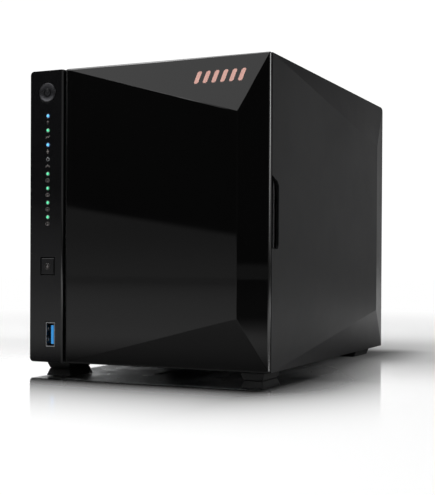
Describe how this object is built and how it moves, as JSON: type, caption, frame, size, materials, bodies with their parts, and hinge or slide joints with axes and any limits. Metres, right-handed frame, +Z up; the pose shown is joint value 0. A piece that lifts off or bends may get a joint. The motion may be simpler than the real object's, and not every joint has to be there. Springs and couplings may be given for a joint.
{
  "type": "NAS enclosure",
  "caption": "Upright network storage enclosure with a faceted housing, a magnet-held front door over hot-swap drive trays, an indicator strip and a rear fan.",
  "frame": {"origin": "centre of the bounding box at the soles of the feet", "axes": "+Z up, +Y towards the rear panel, +X to the right of a viewer who faces the front door"},
  "size_m": [0.168, 0.231, 0.184],
  "materials": {
    "gloss_black": "high gloss",
    "strip_black": "gloss",
    "satin_grey": "satin",
    "frame_black": "fine texture",
    "tray_black": "fine texture",
    "button_grey": "satin metallised",
    "lever_grey": "fine texture",
    "zinc_steel": "zinc plated",
    "bright_steel": "bright",
    "usb_blue": "satin",
    "clear_guide": "clear",
    "board_green": "solder mask",
    "rubber_black": "matt",
    "fan_black": "satin",
    "alloy_sink": "bead blasted",
    "socket_black": "matt",
    "magnet_nickel": "nickel plated"
  },
  "bodies": {
    "case": {"indicator_strip": "strip_black", "housing_cover": "satin_grey", "rear_panel": "satin_grey", "front_frame": "frame_black", "base_chassis": "zinc_steel", "drive_cage": "zinc_steel", "lan_socket_1": "zinc_steel", "lan_socket_2": "zinc_steel", "cover_screw_1": "zinc_steel", "cover_screw_2": "zinc_steel", "cover_screw_3": "zinc_steel", "fan_grille": "zinc_steel", "usb_shell": "bright_steel", "coin_cell": "bright_steel", "usb_rear_pair": "bright_steel", "usb_tongue": "usb_blue", "light_guide": "clear_guide", "front_board": "board_green", "backplane": "board_green", "mainboard": "board_green", "memory_module": "board_green", "foot_1": "rubber_black", "foot_2": "rubber_black", "foot_3": "rubber_black", "foot_4": "rubber_black", "fan_frame": "fan_black", "heatsink": "alloy_sink", "power_socket": "socket_black", "drive_socket_1": "socket_black", "drive_socket_2": "socket_black", "drive_socket_3": "socket_black", "drive_socket_4": "socket_black"},
    "door": {"front_door": "gloss_black", "door_magnet_1": "magnet_nickel", "door_magnet_2": "magnet_nickel", "door_magnet_3": "magnet_nickel", "door_magnet_4": "magnet_nickel"},
    "power_key": {"power_button": "button_grey"},
    "copy_key": {"copy_button": "button_grey"},
    "reset_key": {"reset_button": "socket_black"},
    "fan_wheel": {"fan_rotor": "fan_black"},
    "tray_body_1": {"tray_1": "tray_black"},
    "lever_body_1": {"tray_lever_1": "lever_grey"},
    "release_body_1": {"tray_release_1": "button_grey"},
    "tray_body_2": {"tray_2": "tray_black"},
    "lever_body_2": {"tray_lever_2": "lever_grey"},
    "release_body_2": {"tray_release_2": "button_grey"},
    "tray_body_3": {"tray_3": "tray_black"},
    "lever_body_3": {"tray_lever_3": "lever_grey"},
    "release_body_3": {"tray_release_3": "button_grey"},
    "tray_body_4": {"tray_4": "tray_black"},
    "lever_body_4": {"tray_lever_4": "lever_grey"},
    "release_body_4": {"tray_release_4": "button_grey"}
  },
  "joints": [
    {"name": "door_pull", "type": "slide", "parent": "case", "child": "door", "axis": [0, -1, 0], "range_m": [0, 0.28]},
    {"name": "power_press", "type": "slide", "parent": "case", "child": "power_key", "axis": [0, 1, 0], "range_m": [0, 0.0012], "stiffness_N_per_m": 900},
    {"name": "copy_press", "type": "slide", "parent": "case", "child": "copy_key", "axis": [0, 1, 0], "range_m": [0, 0.0012], "stiffness_N_per_m": 900},
    {"name": "reset_press", "type": "slide", "parent": "case", "child": "reset_key", "axis": [0, -1, 0], "range_m": [0, 0.001], "stiffness_N_per_m": 700},
    {"name": "fan_spin", "type": "hinge", "parent": "case", "child": "fan_wheel", "pos_m": [0.013, 0.098, 0.095], "axis": [0, 1, 0], "continuous": true},
    {"name": "tray_slide_1", "type": "slide", "parent": "case", "child": "tray_body_1", "axis": [0, -1, 0], "range_m": [0, 0.185]},
    {"name": "lever_swing_1", "type": "hinge", "parent": "tray_body_1", "child": "lever_body_1", "pos_m": [-0.03575, -0.1038, 0.026], "axis": [1, 0, 0], "range_deg": [0, 36]},
    {"name": "release_press_1", "type": "slide", "parent": "tray_body_1", "child": "release_body_1", "axis": [0, 1, 0], "range_m": [0, 0.001], "stiffness_N_per_m": 600},
    {"name": "tray_slide_2", "type": "slide", "parent": "case", "child": "tray_body_2", "axis": [0, -1, 0], "range_m": [0, 0.185]},
    {"name": "lever_swing_2", "type": "hinge", "parent": "tray_body_2", "child": "lever_body_2", "pos_m": [-0.00425, -0.1038, 0.026], "axis": [1, 0, 0], "range_deg": [0, 36]},
    {"name": "release_press_2", "type": "slide", "parent": "tray_body_2", "child": "release_body_2", "axis": [0, 1, 0], "range_m": [0, 0.001], "stiffness_N_per_m": 600},
    {"name": "tray_slide_3", "type": "slide", "parent": "case", "child": "tray_body_3", "axis": [0, -1, 0], "range_m": [0, 0.185]},
    {"name": "lever_swing_3", "type": "hinge", "parent": "tray_body_3", "child": "lever_body_3", "pos_m": [0.02725, -0.1038, 0.026], "axis": [1, 0, 0], "range_deg": [0, 36]},
    {"name": "release_press_3", "type": "slide", "parent": "tray_body_3", "child": "release_body_3", "axis": [0, 1, 0], "range_m": [0, 0.001], "stiffness_N_per_m": 600},
    {"name": "tray_slide_4", "type": "slide", "parent": "case", "child": "tray_body_4", "axis": [0, -1, 0], "range_m": [0, 0.185]},
    {"name": "lever_swing_4", "type": "hinge", "parent": "tray_body_4", "child": "lever_body_4", "pos_m": [0.05875, -0.1038, 0.026], "axis": [1, 0, 0], "range_deg": [0, 36]},
    {"name": "release_press_4", "type": "slide", "parent": "tray_body_4", "child": "release_body_4", "axis": [0, 1, 0], "range_m": [0, 0.001], "stiffness_N_per_m": 600}
  ],
  "couplings": [
    {"joint": "tray_slide_1", "follows": "door_pull", "ratio": 0.65},
    {"joint": "lever_swing_1", "follows": "door_pull", "rad_per_m": 2.2},
    {"joint": "tray_slide_2", "follows": "door_pull", "ratio": 0.65},
    {"joint": "lever_swing_2", "follows": "door_pull", "rad_per_m": 2.2},
    {"joint": "tray_slide_3", "follows": "door_pull", "ratio": 0.65},
    {"joint": "lever_swing_3", "follows": "door_pull", "rad_per_m": 2.2},
    {"joint": "tray_slide_4", "follows": "door_pull", "ratio": 0.65},
    {"joint": "lever_swing_4", "follows": "door_pull", "rad_per_m": 2.2}
  ]
}
